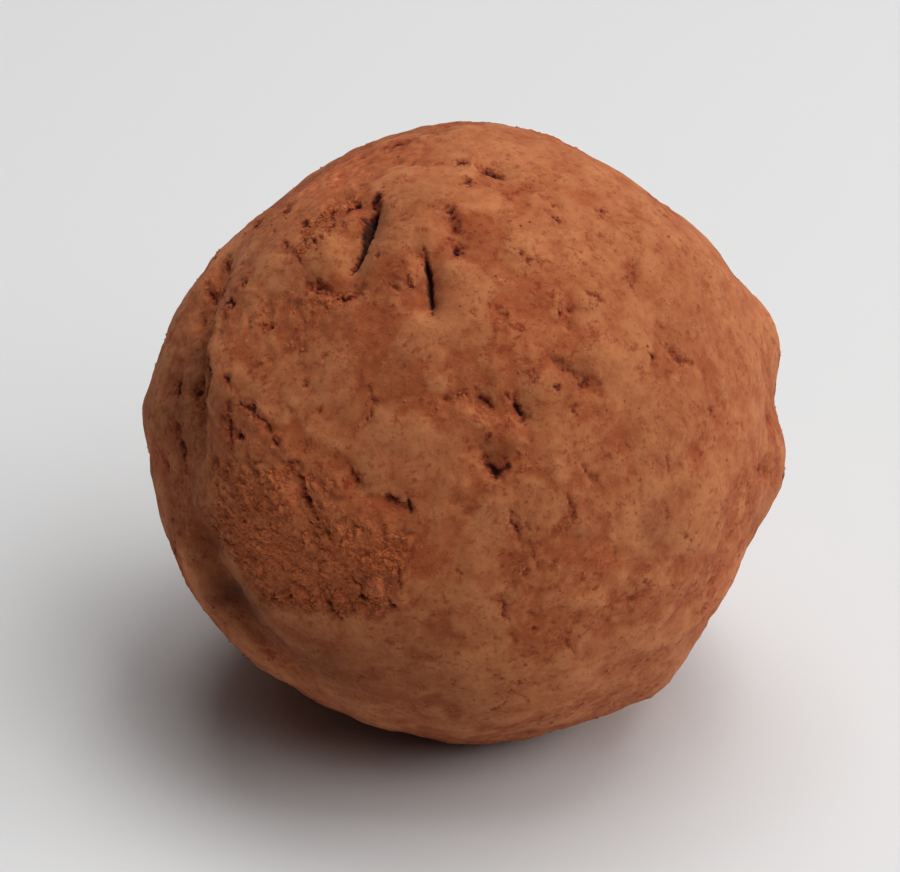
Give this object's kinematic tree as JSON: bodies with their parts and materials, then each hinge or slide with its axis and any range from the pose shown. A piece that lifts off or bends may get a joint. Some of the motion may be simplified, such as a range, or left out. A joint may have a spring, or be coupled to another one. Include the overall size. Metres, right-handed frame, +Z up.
{
  "type": "chocolate truffle",
  "caption": "Hand-rolled chocolate truffle dusted with cocoa: a lumpy ball with folds and pits, resting on a small flat base.",
  "frame": {"origin": "middle of the truffle's outline, on the surface that it rests on", "axes": "+X across the show side to its right, where the truffle is widest; +Y to the back; +Z up, where it is shortest"},
  "size_m": [0.03, 0.0286, 0.0281],
  "materials": {
    "cocoa_dusting": "dry matt cocoa powder over soft chocolate, with no gloss"
  },
  "bodies": {
    "root": {"truffle": "cocoa_dusting"}
  },
  "joints": []
}
